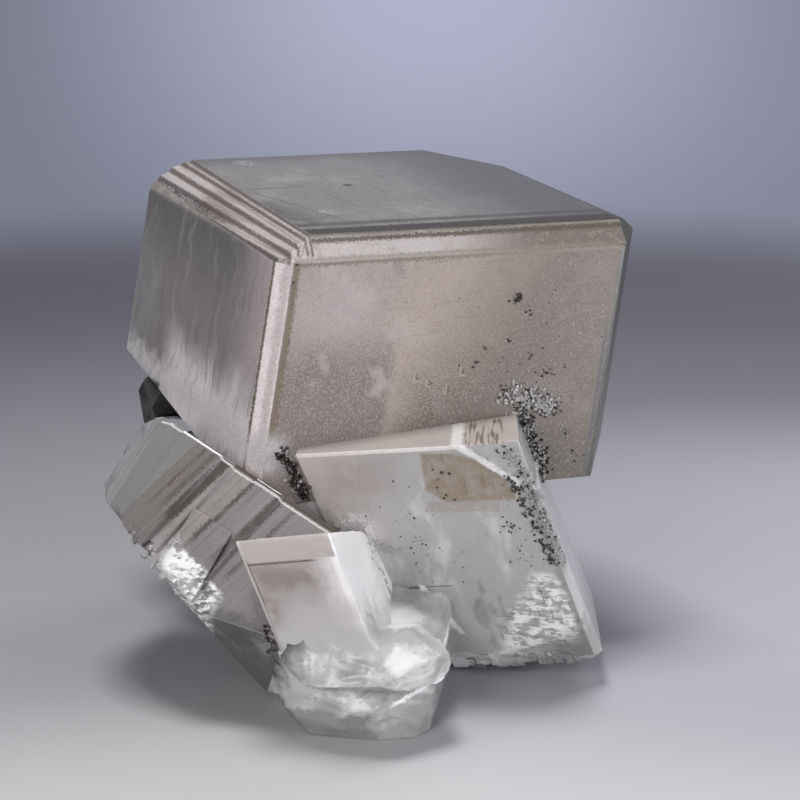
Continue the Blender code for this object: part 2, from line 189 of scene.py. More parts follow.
class Finish:
    """One material and the nodes that make it."""

    def __init__(self, name):
        self.material = bpy.data.materials.new(name)
        self.material.use_nodes = True
        self.tree = self.material.node_tree
        self.tree.nodes.clear()
        self.output = self.tree.nodes.new("ShaderNodeOutputMaterial")

    def node(self, kind, settings=None, sockets=None, output=0):
        made = self.tree.nodes.new(kind)
        for name, value in (settings or {}).items():
            setattr(made, name, value)
        for name, value in (sockets or {}).items():
            if isinstance(value, Value):
                self.tree.links.new(value.socket, made.inputs[name])
            elif value is not None:
                made.inputs[name].default_value = value
        return Value(self, made.outputs[output])

    def place(self):
        """Where a point of the object is, in millimetres."""
        object_place = self.node("ShaderNodeTexCoord", output="Object")
        return self.vector("SCALE", object_place, scale=1 / MM)

    def vector(self, operation, a, b=None, scale=None):
        sockets = {0: a, 1: b, "Scale": scale}
        number = operation in ("DOT_PRODUCT", "LENGTH", "DISTANCE")
        output = "Value" if number else "Vector"
        return self.node("ShaderNodeVectorMath", {"operation": operation}, sockets, output)

    def blend(self, share, first, second):
        """The first colour where the share is 0, and the second where it is 1."""
        rgba = [(*c, 1) if isinstance(c, tuple) else c for c in (first, second)]
        sockets = {0: share, 6: rgba[0], 7: rgba[1]}
        return self.node("ShaderNodeMix", {"data_type": "RGBA"}, sockets, 2)

    def noise(self, place, size, detail=2.0, rough=0.5):
        """Soft noise from 0 to 1 whose lumps are about so many millimetres across."""
        sockets = {"Vector": place, "Scale": 1 / size, "Detail": detail, "Roughness": rough}
        return self.node("ShaderNodeTexNoise", {}, sockets)

    def dots(self, place, size):
        """How far a point is from the nearest of many scattered points, in their own spacing."""
        return self.node("ShaderNodeTexVoronoi", {}, {"Vector": place, "Scale": 1 / size})


print("shader language ready")

# %% [markdown]
# Calcite splits along three directions that meet at 101.92 degrees. Each crystal here keeps its own
# three edge directions, so that growth lines, terraces and flakes can be placed by how far they are
# along its edges. The corners and turns are the ones that the model was built from.

# %% The crystals' own directions
EDGE_ANGLE = math.radians(101.92)
EDGE_LEAN = math.asin(math.sqrt((1 - math.cos(EDGE_ANGLE)) / 1.5))


class Crystal:
    """The three edges that leave one blunt corner of a calcite crystal."""

    def __init__(self, corner, turn, sizes):
        self.corner = Vector(corner)
        self.sizes = sizes
        turned = Euler([math.radians(angle) for angle in turn]).to_matrix()
        self.edges = []
        for third in range(3):
            around = math.radians(120 * third)
            sideways = math.sin(EDGE_LEAN)
            edge = (sideways * math.cos(around), sideways * math.sin(around), math.cos(EDGE_LEAN))
            self.edges.append(turned @ Vector(edge))
        self.to_steps = Matrix(self.edges).transposed().inverted()

    def at(self, *steps):
        """The place reached by so many millimetres along each edge, in metres."""
        return (self.corner + sum((e * s for e, s in zip(self.edges, steps)), Vector())) * MM

    def steps(self, place):
        """How far along each edge a place in metres is, in millimetres."""
        return self.to_steps @ (Vector(place) / MM - self.corner)

    def fields(self, finish, place):
        """The same three distances in a shader."""
        found = []
        for row in self.to_steps:
            along = finish.vector("DOT_PRODUCT", place, tuple(row))
            found.append(along - row.dot(self.corner))
        return found


BLOCK = Crystal((-11.0, -7.8, 66.1), (-132.6, -19.1, -3.4), (57.2, 40.5, 57.5))    # right, down, back
MIDDLE = Crystal((4.3, -11.8, 0.1), (35.0, 26.2, 102.0), (34.0, 38.3, 34.1))       # back, up, right
FRONT = Crystal((-9.0, -39.0, 7.1), (36.9, 38.7, 95.0), (30.0, 22.9, 14.7))        # back, up, right
LEFT = Crystal((-41.4, -22.5, 22.0), (116.5, 42.7, 142.7), (22.0, 26.0, 36.0))     # back, up, right
print("block edges:", [[round(value, 3) for value in edge] for edge in BLOCK.edges])

# %% [markdown]
# The specimen stands in a plain bowl of a studio: a pale floor that sweeps up into a blue-grey wall
# all round, so that every side has the same quiet background. A circle is drawn out and widened ring
# by ring, along a quarter turn.

# %% Floor and backdrop
FLOOR_RADIUS = 0.33
SWEEP_RADIUS = 0.17
WALL_TOP = 0.55


def add_studio():
    deselect()
    bpy.ops.mesh.primitive_circle_add(vertices=96, radius=FLOOR_RADIUS, fill_type="NGON")
    studio = bpy.context.object
    studio.name = "studio_sweep"
    bpy.ops.object.mode_set(mode="EDIT")
    bpy.ops.mesh.select_mode(type="EDGE")
    bpy.ops.mesh.select_all(action="SELECT")
    bpy.ops.mesh.inset(thickness=0.002)
    bpy.ops.mesh.select_all(action="DESELECT")
    bpy.ops.mesh.select_non_manifold()
    radius, height = FLOOR_RADIUS, 0.0
    turns = [math.radians(90 * i / 12) for i in range(1, 13)]
    rings = [(FLOOR_RADIUS + SWEEP_RADIUS * math.sin(t), SWEEP_RADIUS * (1 - math.cos(t))) for t in turns]
    rings.append((FLOOR_RADIUS + SWEEP_RADIUS, WALL_TOP))
    for wider, higher in rings:
        bpy.ops.mesh.extrude_edges_move(TRANSFORM_OT_translate={"value": (0, 0, higher - height)})
        bpy.ops.transform.resize(value=(wider / radius, wider / radius, 1), center_override=(0, 0, higher))
        radius, height = wider, higher
    bpy.ops.object.mode_set(mode="OBJECT")
    bpy.ops.object.shade_smooth()
    return studio


studio = add_studio()
print("studio sweep:", len(studio.data.polygons), "faces")

# %% Floor and backdrop colours
# Painted light on the floor: it is lighter round POOL_OF_LIGHT and darker further off, with a second painted pool of
# light on the right. GLOW_TONE is a painted glow on the wall.
NEAR_FLOOR_TONE = linear(190, 189, 189)
FLOOR_TONE = linear(152, 151, 153)
FAR_FLOOR_TONE = linear(90, 89, 97)
WALL_TONE = linear(128, 130, 145)
GLOW_TONE = linear(150, 153, 172)
RIGHT_LIGHT_POOL_TONE = linear(172, 171, 179)
POOL_OF_LIGHT = (0, -250, 0)
RIGHT_LIGHT_POOL = (85, 35, 0)
GLOW_MIDDLE = (18, 480, 112)


def studio_finish():
    finish = Finish("studio_paper")
    place = finish.place()
    z = finish.node("ShaderNodeSeparateXYZ", {}, {0: place}, 2)
    from_pool = finish.vector("DISTANCE", place, POOL_OF_LIGHT)
    floor = finish.blend(from_pool.rise(190, 240), NEAR_FLOOR_TONE, FLOOR_TONE)
    floor = finish.blend(from_pool.rise(225, 540), floor, FAR_FLOOR_TONE)
    # A painted pool of light on the floor to the right.
    right_light_pool = finish.vector("DISTANCE", place, RIGHT_LIGHT_POOL).rise(135, 35)
    floor = finish.blend(right_light_pool * 0.8, floor, RIGHT_LIGHT_POOL_TONE)
    paper = finish.blend(z.rise(-2, 17), floor, WALL_TONE)
    glow = finish.blend(finish.vector("DISTANCE", place, GLOW_MIDDLE).rise(10, 200), GLOW_TONE, (0, 0, 0))
    shader = finish.node("ShaderNodeBsdfPrincipled", {}, {
        "Base Color": paper, "Roughness": 0.9, "Emission Color": glow, "Emission Strength": 0.8})
    finish.tree.links.new(shader.socket, finish.output.inputs["Surface"])
    return finish.material


studio.data.materials.append(studio_finish())
studio.data.materials[0].cycles.emission_sampling = "NONE"     # the glow is only seen, it needn't light anything
print("studio painted")

# %% [markdown]
# A wide panel overhead, a little behind, lays a soft shadow under the overhanging crystals. A low one
# in front and to the left lights the faces that the camera sees. Two weak ones, from the right and
# from behind, light the edges. None of them is seen itself.

# %% Lights


def add_panel(name, place, target, size, power, colour):
    """A square light panel that faces a target."""
    data = bpy.data.lights.new(name, "AREA")
    data.shape = "SQUARE"
    data.size = size
    data.energy = power
    data.color = colour
    panel = bpy.data.objects.new(name, data)
    scene.collection.objects.link(panel)
    panel.location = place
    panel.rotation_euler = (Vector(target) - Vector(place)).to_track_quat("-Z", "Y").to_euler()
    panel.visible_camera = False
    return panel


CENTRE = (0, 0, 0.030)
add_panel("key_panel", (-0.185, -0.355, 0.205), CENTRE, 0.20, 0.94, (1.0, 0.985, 0.97))
add_panel("top_panel", (-0.07, 0.10, 0.60), CENTRE, 0.18, 2.6, (0.98, 0.99, 1.0))
add_panel("fill_panel", (0.26, -0.17, 0.08), CENTRE, 0.14, 0.40, (0.97, 0.98, 1.0))
add_panel("rim_panel", (0.30, 0.34, 0.30), CENTRE, 0.20, 0.85, (0.95, 0.97, 1.0))
world = bpy.data.worlds.new("room")
world.use_nodes = True
world.node_tree.nodes["Background"].inputs["Color"].default_value = (0.72, 0.76, 0.86, 1)
world.node_tree.nodes["Background"].inputs["Strength"].default_value = 0.08
scene.world = world

# %% [markdown]
# The calcite is one solid: all its crystals have grown together. Its mesh starts as a copy of the
# model's, whose loose triangles are merged and whose flat faces are made whole again. Long outer
# edges are then rounded a little, as edges are on any real crystal, so that they catch the light.

# %% The calcite's mesh
EDGE_ROUNDING = 0.13 * MM


def merged_copy(node, name):
    piece = bpy.data.objects.new(name, node.data.copy())
    scene.collection.objects.link(piece)
    piece.data.materials.clear()
    pick(piece)
    bpy.ops.object.mode_set(mode="EDIT")
    bpy.ops.mesh.select_all(action="SELECT")
    bpy.ops.mesh.remove_doubles(threshold=0.002 * MM)
    bpy.ops.mesh.dissolve_limited(angle_limit=math.radians(0.4))
    bpy.ops.object.mode_set(mode="OBJECT")
    return piece


def round_long_edges(piece, shortest, width):
    """Bevels the outer edges that are long enough to take it."""
    bm = bmesh.new()
    bm.from_mesh(piece.data)
    chosen = set()
    for edge in bm.edges:
        roomy = all(side.calc_length() > 2.2 * width for v in edge.verts for side in v.link_edges)
        if edge.calc_length() > shortest and roomy and edge.calc_face_angle_signed(0) > math.radians(18):
            chosen.add(edge.index)
    bm.free()
    pick(piece)
    bpy.ops.object.mode_set(mode="EDIT")
    bpy.ops.mesh.select_mode(type="EDGE")
    bpy.ops.mesh.select_all(action="DESELECT")
    bpy.ops.object.mode_set(mode="OBJECT")
    for edge in piece.data.edges:
        edge.select = edge.index in chosen
    bpy.ops.object.mode_set(mode="EDIT")
    bpy.ops.mesh.bevel(offset=width, segments=2, affect="EDGES", clamp_overlap=False)
    bpy.ops.object.mode_set(mode="OBJECT")
    return len(chosen)


calcite = merged_copy(frame["nodes"]["calcite"], "calcite_crystals")
print("calcite:", len(calcite.data.vertices), "points,", len(calcite.data.polygons), "faces")

# %% [markdown]
# Broken calcite doesn't look like broken glass: it splits into tiny rhombs and thin plates, all in
# the crystal's own directions. One cube is modelled, sheared into the crystal's rhomb and copied
# many times along each broken edge. Some copies are joined on as flakes and others are cut out as
# nicks, each kind with one Boolean modifier.

# %% Flakes and nicks
draw = random.Random(11)
noise.seed_set(11)                     # the clock would seed the vector noise otherwise


def chip_pattern():
    bpy.ops.mesh.primitive_cube_add(size=1, location=(0, 0, 0))
    pattern = bpy.context.object
    pattern.name = "chip_pattern"
    bpy.ops.object.mode_set(mode="EDIT")
    bpy.ops.mesh.select_all(action="SELECT")
    bpy.ops.transform.translate(value=(0.5, 0.5, 0.5))
    bpy.ops.object.mode_set(mode="OBJECT")
    return pattern


pattern = chip_pattern()


def add_chip(crystal, near, far, chips):
    """One copy of the pattern between two places that are given along the crystal's edges."""
    chip = bpy.data.objects.new("chip", pattern.data.copy())
    columns = [edge * (b - a) * MM for edge, a, b in zip(crystal.edges, near, far)]
    shear = Matrix([[column[row] for column in columns] + [0] for row in range(3)] + [[0, 0, 0, 1]])
    chip.data.transform(Matrix.Translation(crystal.at(*near)) @ shear)
    chips.objects.link(chip)


def along(path, count):
    """Places spread evenly along a path, each a little off it."""
    lengths = [math.dist(a, b) for a, b in zip(path, path[1:])]
    for i in range(count):
        left = sum(lengths) * (i + draw.random()) / count
        for (a, b), length in zip(zip(path, path[1:]), lengths):
            if left <= length:
                yield [p + (q - p) * left / length for p, q in zip(a, b)]
                break
            left -= length


def chips_along(crystal, face, level, path, count, size, depth, chips, spread=0.5, root=0.5):
    """Chips on one face of a crystal, along a path in that face's two directions."""
    outward = 1 if level > 0 else -1
    for spot in along(path, count):
        wide, tall, thick = (draw.uniform(*size), draw.uniform(*size), draw.uniform(*depth))
        u, v = spot[0] + draw.uniform(-spread, spread), spot[1] + draw.uniform(-spread, spread)
        near, far = [u - wide / 2, v - tall / 2], [u + wide / 2, v + tall / 2]
        ends = sorted((level + outward * thick, level - outward * root * draw.uniform(0.8, 1.2)))
        near.insert(face, ends[0])
        far.insert(face, ends[1])
        add_chip(crystal, near, far, chips)


def apply_chips(piece, chips, operation):
    step = piece.modifiers.new(operation.lower(), "BOOLEAN")
    step.operation, step.solver = operation, "EXACT"
    step.operand_type, step.collection = "COLLECTION", chips
    count = len(chips.objects)
    pick(piece)
    bpy.ops.object.modifier_apply(modifier=step.name)
    for chip in list(chips.objects):
        bpy.data.objects.remove(chip)
    bpy.data.collections.remove(chips)
    return count


def chip_collection(name):
    chips = bpy.data.collections.new(name)
    scene.collection.children.link(chips)
    return chips


print("chip pattern ready")

# %% Nicks cut into the broken edges
nicks = chip_collection("nicks")
chips_along(MIDDLE, 0, 0, [(0.1, 12), (0.1, 33)], 26, (0.6, 2.2), (0.3, 0.6), nicks, 0.45, 0.5)
chips_along(MIDDLE, 0, 0, [(2, 21), (8, 23), (13, 30), (6, 31)], 34, (0.7, 2.8), (0.3, 0.4), nicks, 1.8, 0.14)
chips_along(MIDDLE, 0, 0, [(28.4, 34.4), (20, 34.6), (4, 34.6)], 22, (0.4, 1.3), (0.3, 0.5), nicks, 0.3, 0.5)
chips_along(FRONT, 0, 0, [(0.4, 2), (0.2, 14.5)], 14, (0.6, 1.8), (0.3, 0.4), nicks, 0.5, 0.3)
chips_along(LEFT, 0, 0.9, [(6.4, 8), (4.4, 16), (3.0, 23)], 14, (0.7, 2.6), (0.2, 0.3), nicks, 1.2, 0.35)
chips_along(BLOCK, 2, 0, [(57.2, 24), (56.6, 40)], 10, (0.4, 1.0), (0.2, 0.3), nicks, 0.25, 0.3)
chips_along(BLOCK, 2, 0.2, [(2.2, 2.9), (1.2, 10), (1.0, 34)], 16, (0.3, 0.8), (0.2, 0.3), nicks, 0.3, 0.25)
nick_count = apply_chips(calcite, nicks, "DIFFERENCE")
print("nicks cut:", nick_count, "faces:", len(calcite.data.polygons))

# %% Flakes left standing
flakes = chip_collection("flakes")
chips_along(MIDDLE, 0, 0, [(2, 19), (7, 22), (13, 31), (5, 32)], 40, (0.6, 2.6), (0.06, 0.30), flakes, 1.8)
chips_along(MIDDLE, 0, 0, [(38.2, 25), (33.8, 29.3), (28.6, 34.4)], 22, (0.5, 1.5), (0.1, 0.45), flakes, 0.35)
chips_along(MIDDLE, 0, -0.53, [(14.0, 9.6), (10.4, 10.4), (6.8, 12.4), (4.4, 10)], 24, (0.4, 1.3), (0.02, 0.25), flakes, 0.3, 1.3)
chips_along(MIDDLE, 0, 0, [(30, 1.2), (20, 4.0), (14, 5.0)], 22, (0.3, 1.0), (0.1, 0.5), flakes, 0.9)
chips_along(MIDDLE, 0, 0, [(0.3, 11), (0.4, 20), (0.5, 30)], 20, (0.8, 2.4), (0.1, 0.4), flakes, 0.4)
chips_along(FRONT, 2, 14.7, [(24.2, 22), (24.6, 14), (25.0, 8), (30, 4.5)], 18, (0.4, 1.3), (0.1, 0.4), flakes, 0.6)
chips_along(LEFT, 0, 0.9, [(7.2, 6), (5.0, 15), (3.6, 23)], 14, (0.5, 1.6), (0.05, 0.2), flakes, 0.9)
chips_along(BLOCK, 2, 0, [(39.4, 26.6), (42.5, 27.4), (46.8, 28.6)], 22, (0.3, 0.9), (0.15, 0.7), flakes, 0.8)
flake_count = apply_chips(calcite, flakes, "UNION")
bpy.data.objects.remove(pattern)
rounded = round_long_edges(calcite, 1.2 * MM, EDGE_ROUNDING)
print("flakes joined:", flake_count, "edges rounded:", rounded, "faces:", len(calcite.data.polygons))

# %% [markdown]
# The foot and the shoulders are broken across the cleavage, so their surface flows in soft ridges
# instead of flat facets. Just these faces are divided finely, evened out and pushed in and out by
# noise. Points on the border to a flat crystal face stay where they are, so no gap opens there.

# %% The flowing breaks
BREAK_EDGE = 0.65 * MM
BREAK_RELIEF = 0.85 * MM
FRONT_BREAK_UP, FRONT_BREAK_RIGHT = 10.0, 14.0       # the front crystal is broken below and right of these
LEFT_BREAK_UP, LEFT_BREAK_FALL = 10.0, 0.24          # the left one is broken below a sloping line
PARALLEL = math.cos(math.radians(2.5))
FLAT_FROM, FOOT_TOP = 6.0, 12.0                      # the front's face runs into the foot between 0 and these


def cleavage_normals(crystal):
    a, b, c = crystal.edges
    return [p.cross(q).normalized() for p, q in ((a, b), (b, c), (c, a))]


def cut(bm, crystal, through, normal):
    """Draws a border across one crystal's faces, along a plane."""
    middles = [(face, crystal.steps(face.calc_center_median())) for face in bm.faces]
    faces = [face for face, steps in middles
             if all(-1 < step < size + 1 for step, size in zip(steps, crystal.sizes))]
    edges = dict.fromkeys(edge for face in faces for edge in face.edges)
    points = dict.fromkeys(v for face in faces for v in face.verts)
    parts = faces + list(edges) + list(points)
    bmesh.ops.bisect_plane(bm, geom=parts, plane_co=through, plane_no=normal, dist=0.001 * MM)


def is_broken(face, cleavages):
    """True for the worn front crystal, the left one's broken part and all that no crystal has."""
    centre = face.calc_center_median()
    if centre.z < 0.2 * MM:
        return False
    for crystal, margin in ((BLOCK, 0.15), (FRONT, 0.12), (LEFT, 1.0), (MIDDLE, 0.85)):
        steps = crystal.steps(centre)
        if all(-margin < step < size + margin for step, size in zip(steps, crystal.sizes)):
            low_left = crystal is LEFT and steps[1] + LEFT_BREAK_FALL * steps[2] < LEFT_BREAK_UP
            return crystal is FRONT or low_left
    return not any(abs(face.normal.dot(normal)) > PARALLEL for normal in cleavages)


def mark_breaks(bm, layer):
    slope = LEFT.at(0, -LEFT_BREAK_FALL, 1) - LEFT.at(0, 0, 0)
    cut(bm, LEFT, LEFT.at(0, LEFT_BREAK_UP, 0), slope.cross(LEFT.edges[0]).normalized())
    cleavages = [normal for crystal in (BLOCK, MIDDLE, FRONT, LEFT) for normal in cleavage_normals(crystal)]
    for face in bm.faces:
        face[layer] = int(is_broken(face, cleavages))


def divide(bm, layer, longest):
    """Splits the long edges of the marked faces until none is longer, and keeps them triangles.

    The edges are kept in the order in which they are met, not in a set, so that every run is the same.
    """
    for _ in range(7):
        marked = [face for face in bm.faces if face[layer] and len(face.verts) > 3]
        bmesh.ops.triangulate(bm, faces=marked)
        marked = [face for face in bm.faces if face[layer]]
        sides = dict.fromkeys(edge for face in marked for edge in face.edges)
        long_edges = [edge for edge in sides if edge.calc_length() > longest]
        if not long_edges:
            break
        bmesh.ops.subdivide_edges(bm, edges=long_edges, cuts=1)
    bmesh.ops.triangulate(bm, faces=[face for face in bm.faces if face[layer] and len(face.verts) > 3])


def ridges(place):
    """Flowing ridges, creases and small terraces, from about -1 to 1."""
    spot = place / MM
    bent = spot + noise.noise_vector(spot * 0.11) * 5.0
    tilted = Vector((bent.x * 0.9 + bent.z * 0.4, bent.y, bent.z - bent.x * 0.35))
    flow = noise.noise(Vector((tilted.x * 0.11, tilted.y * 0.11, tilted.z * 0.24)))
    crease = 1 - 2 * abs(noise.noise(Vector((tilted.x * 0.16, tilted.y * 0.16, tilted.z * 0.34))))
    fine = noise.noise(bent * 0.8)
    level = flow * 3.5 + fine * 0.4
    part = level - math.floor(level)
    return 0.7 * flow + 0.45 * (crease - 0.6) + 0.12 * fine + 0.25 * (part ** 3 - part)


def wear(place):
    """How strong the relief is: full on the foot, less on the front crystal's side, least on its face."""
    if place.z > 12.5 * MM and place.x > 3 * MM:
        return 0.3
    steps = FRONT.steps(place)
    if not all(-0.6 < step < size + 0.6 for step, size in zip(steps, FRONT.sizes)):
        return 1.0
    if steps[2] > FRONT_BREAK_RIGHT:
        return 0.3
    return max(0.07, 1 - steps[1] / FRONT_BREAK_UP)


def run_into_foot(place):
    """Moves a point of the foot back towards the plane of the front crystal's face, fully near its top."""
    back, up, right = FRONT.steps(place)
    if back > 0 or not 0 < up < FOOT_TOP or not -3 < right < 18:
        return place
    share = min(1, up / FLAT_FROM) * min(1, (right + 3) / 3) * min(1, (18 - right) / 4)
    return place - FRONT.edges[0] * MM * back * share * share * (3 - 2 * share)


def roughen(piece):
    bm = bmesh.new()
    bm.from_mesh(piece.data)
    layer = bm.faces.layers.int.new("broken")
    mark_breaks(bm, layer)
    divide(bm, layer, BREAK_EDGE)
    depth = {v: 0 for v in bm.verts if any(face[layer] for face in v.link_faces)
             and not all(face[layer] for face in v.link_faces)}
    ring = list(depth)
    while ring:
        ring = {other for v in ring for edge in v.link_edges for other in [edge.other_vert(v)]
                if other not in depth and all(face[layer] for face in other.link_faces)}
        step = 1 + max(depth.values())
        depth.update((v, step) for v in ring)
    inner = [v for v in bm.verts if depth.get(v)]        # in the mesh's order, so that every run is the same
    foot = [v for v in inner if v.co.x > -17 * MM and v.co.y < -15 * MM and wear(v.co) > 0.3]
    brink = [v for v in inner if 1 < FRONT.steps(v.co)[1] < 11 and -5 < FRONT.steps(v.co)[0] < 7]
    for v in inner:
        v.co = run_into_foot(v.co)
    for points, rounds in ((inner, 3), (foot, 8), (brink, 110)):
        for _ in range(rounds):
            bmesh.ops.smooth_vert(bm, verts=points, factor=0.5, use_axis_x=True, use_axis_y=True, use_axis_z=True)
    bm.normal_update()
    for v in inner:
        ground = min(1, max(0, v.co.z / MM - 0.2) / 2)
        v.co += v.normal * ridges(v.co) * BREAK_RELIEF * wear(v.co) * min(1, depth[v] / 4) * ground
    for face in bm.faces:
        across_left = LEFT.steps(face.calc_center_median())
        rounded_side = across_left[2] - 0.304 * across_left[1] < 0 and -1 < across_left[1] < 27
        face.smooth = bool(face[layer]) or rounded_side
    for edge in bm.edges:
        edge.smooth = edge.calc_face_angle(0) < math.radians(38)
    open_edges = sum(not edge.is_manifold for edge in bm.edges)
    bm.to_mesh(piece.data)
    bm.free()
    return len(inner), open_edges


moved, open_edges = roughen(calcite)
print("calcite with breaks:", len(calcite.data.polygons), "faces,", moved, "points moved,", open_edges, "open edges")

# %% [markdown]
# Pyrite grows in tiny cubes with cut corners. One grain is modelled, and its copies are dropped on
# the calcite: a straight line towards a crystal's face finds the surface under each of them. They
# lie thickest along the three crusts and thin out around them. Pale crumbs of calcite lie between.

# %% One grain, and how grains are laid
def grain_pattern():
    bpy.ops.mesh.primitive_cube_add(size=1, location=(0, 0, 0))
    grain = bpy.context.object
    grain.name = "grain_pattern"
    bpy.ops.object.mode_set(mode="EDIT")
    bpy.ops.mesh.select_all(action="SELECT")
    bpy.ops.mesh.bevel(offset=0.17, segments=1, affect="EDGES")
    bpy.ops.object.mode_set(mode="OBJECT")
    return grain


grain = grain_pattern()
under = BVHTree.FromPolygons([v.co for v in calcite.data.vertices], [p.vertices for p in calcite.data.polygons])


def surface_at(crystal, face, spot):
    """The calcite's surface in front of a place on one of a crystal's faces."""
    steps = list(spot)
    steps.insert(face, 0)
    a, b = [edge for i, edge in enumerate(crystal.edges) if i != face]
    outward = a.cross(b).normalized()
    if outward.dot(crystal.edges[face]) > 0:
        outward = -outward
    place, normal, _, _ = under.ray_cast(crystal.at(*steps) + outward * 4 * MM, -outward)
    return place, normal


def drop(pattern, crystal, face, spots, size, lift):
    """Lays one copy of a pattern on the calcite at each spot and returns the copies."""
    copies = []
    for spot in spots:
        place, normal = surface_at(crystal, face, spot)
        if place is None:
            continue
        wide = draw.uniform(*size) * MM
        copy = bpy.data.objects.new(pattern.name + "_copy", pattern.data.copy())
        turned = Euler([draw.uniform(0, math.tau) for _ in range(3)]).to_matrix().to_4x4()
        stretch = Matrix.Diagonal((wide, wide * draw.uniform(0.7, 1), wide * draw.uniform(0.6, 0.9), 1))
        copy.data.transform(Matrix.Translation(place + normal * wide * draw.uniform(*lift)) @ turned @ stretch)
        scene.collection.objects.link(copy)
        copies.append(copy)
    return copies


def scattered(path, count, spread):
    """Spots along a path, dense in its middle and thinner away from it."""
    return [[s + draw.gauss(0, spread) for s in spot] for spot in along(path, count)]


def join(copies, name):
    deselect()
    for copy in copies:
        copy.select_set(True)
    bpy.context.view_layer.objects.active = copies[0]
    bpy.ops.object.join()
    joined = bpy.context.object
    joined.name = joined.data.name = name
    return joined


print("grain:", len(grain.data.polygons), "faces")

# %% The three crusts of grains
SEAM = [(3.9, 32.2), (5.2, 34.2), (6.6, 36.2), (7.6, 37.8), (8.8, 39.6)]
PATCH = [(38.2, 26.4), (41.0, 25.6), (44.6, 26.9), (47.4, 28.8), (44.5, 28.6), (41.6, 27.4)]
BAND = [(41.2, 28.6), (42.6, 30.2), (43.8, 32.4), (45.2, 34.6), (46.4, 37.0), (47.4, 39.4)]
RIM = [(37.6, 31.0), (34.5, 32.0), (31.0, 33.2), (27.0, 33.4), (22.0, 33.2), (16.5, 33.6)]
RIM_INNER = [(33.0, 30.4), (29.6, 31.2), (25.4, 31.6), (21.4, 31.7), (17.4, 32.0)]

seam = drop(grain, BLOCK, 2, scattered(SEAM, 170, 0.42), (0.22, 0.62), (0.0, 0.6))
seam_grains = join(seam, "pyrite_seam_grains")
patch = drop(grain, BLOCK, 2, scattered(PATCH, 70, 0.9), (0.20, 0.48), (0.1, 0.6))
patch += drop(grain, BLOCK, 2, scattered(BAND, 170, 0.62), (0.18, 0.46), (0.0, 0.6))
rim = drop(grain, MIDDLE, 0, scattered(RIM_INNER, 120, 0.5), (0.18, 0.44), (0.0, 0.6))
rim += drop(grain, MIDDLE, 0, scattered(RIM, 130, 0.45), (0.16, 0.40), (-0.2, 0.4))
print("crust grains:", len(seam), len(patch), len(rim))

# %% Single grains around them, and pale crumbs
BLOCK_SPECKS = [(38.6, 10.9), (40.9, 13.4), (37.9, 17.8), (34.2, 18.5), (33.1, 20.6), (41.9, 20.3), (45.3, 23.0)]
CRUMB_SPOTS = [(26.5, 2.6), (24.5, 4.0), (22.0, 5.6), (20.5, 8.5)]


def around(middle, spread, count):
    return [[draw.gauss(m, s) for m, s in zip(middle, spread)] for _ in range(count)]


patch += drop(grain, BLOCK, 2, around((38.2, 10.9), (0.5, 0.5), 14), (0.22, 0.50), (-0.1, 0.3))
for spot in BLOCK_SPECKS:
    patch += drop(grain, BLOCK, 2, around(spot, (0.35, 0.35), 5), (0.18, 0.40), (-0.1, 0.3))
patch += drop(grain, BLOCK, 2, around((41, 22), (5, 6), 90), (0.12, 0.26), (-0.2, 0.2))
rim += drop(grain, MIDDLE, 0, around((22, 13), (4, 4), 30), (0.14, 0.36), (-0.2, 0.2))
rim += drop(grain, MIDDLE, 0, around((22, 28), (3, 1.5), 36), (0.14, 0.36), (-0.2, 0.2))
rim += drop(grain, MIDDLE, 0, around((32, 20.5), (1.5, 1.2), 8), (0.2, 0.5), (-0.2, 0.2))
rim += drop(grain, FRONT, 0, around((6.5, -1.8), (1.6, 0.5), 40), (0.16, 0.45), (-0.1, 0.4))
patch_grains = join(patch, "pyrite_patch_grains")
rim_grains = join(rim, "pyrite_rim_grains")
crumbs = drop(grain, BLOCK, 2, scattered(PATCH, 170, 0.75), (0.22, 0.65), (-0.1, 0.4))
crumbs += drop(grain, BLOCK, 2, scattered(BAND, 110, 0.6), (0.25, 0.65), (-0.2, 0.3))
crumbs += drop(grain, BLOCK, 2, scattered(SEAM, 40, 0.6), (0.30, 0.70), (-0.2, 0.3))
crumbs += drop(grain, MIDDLE, 0, scattered(RIM, 130, 0.5), (0.25, 0.70), (-0.2, 0.3))
crumbs += drop(grain, MIDDLE, 0, scattered(CRUMB_SPOTS, 120, 0.7), (0.15, 0.50), (-0.3, 0.2))
crumbs += drop(grain, MIDDLE, 0, around((17, 17), (9, 9), 60), (0.10, 0.30), (-0.3, 0.1))
crumb_count = len(crumbs)
calcite = join([calcite] + crumbs, "calcite_crystals")
bpy.data.objects.remove(grain)
print("grains:", [len(piece.data.polygons) for piece in (seam_grains, patch_grains, rim_grains)], "crumbs:", crumb_count)

# %% [markdown]
# One material serves the whole solid, because light that enters through one crystal leaves through
# another. It has a clear part, plain glass with calcite's refraction and a faint smoky absorption,
# and for each crystal a milky skin of dust and veils. A skin is built up like glazes on a pot: each
# mark is laid over the last, with its own colour, milkiness, roughness and relief.

# %% Skins that are built up by marks
calcite_look = Finish("calcite")
place = calcite_look.place()
CLEAR_ROUGHNESS = 0.12
CALCITE_IOR = 1.6
SMOKE_COLOUR = (0.80, 0.78, 0.74, 1)
SMOKE_DENSITY = 60.0

glass = calcite_look.node("ShaderNodeBsdfPrincipled", {}, {
    "Base Color": (0.96, 0.96, 0.95, 1), "Roughness": CLEAR_ROUGHNESS, "IOR": CALCITE_IOR,
    "Transmission Weight": 1.0})


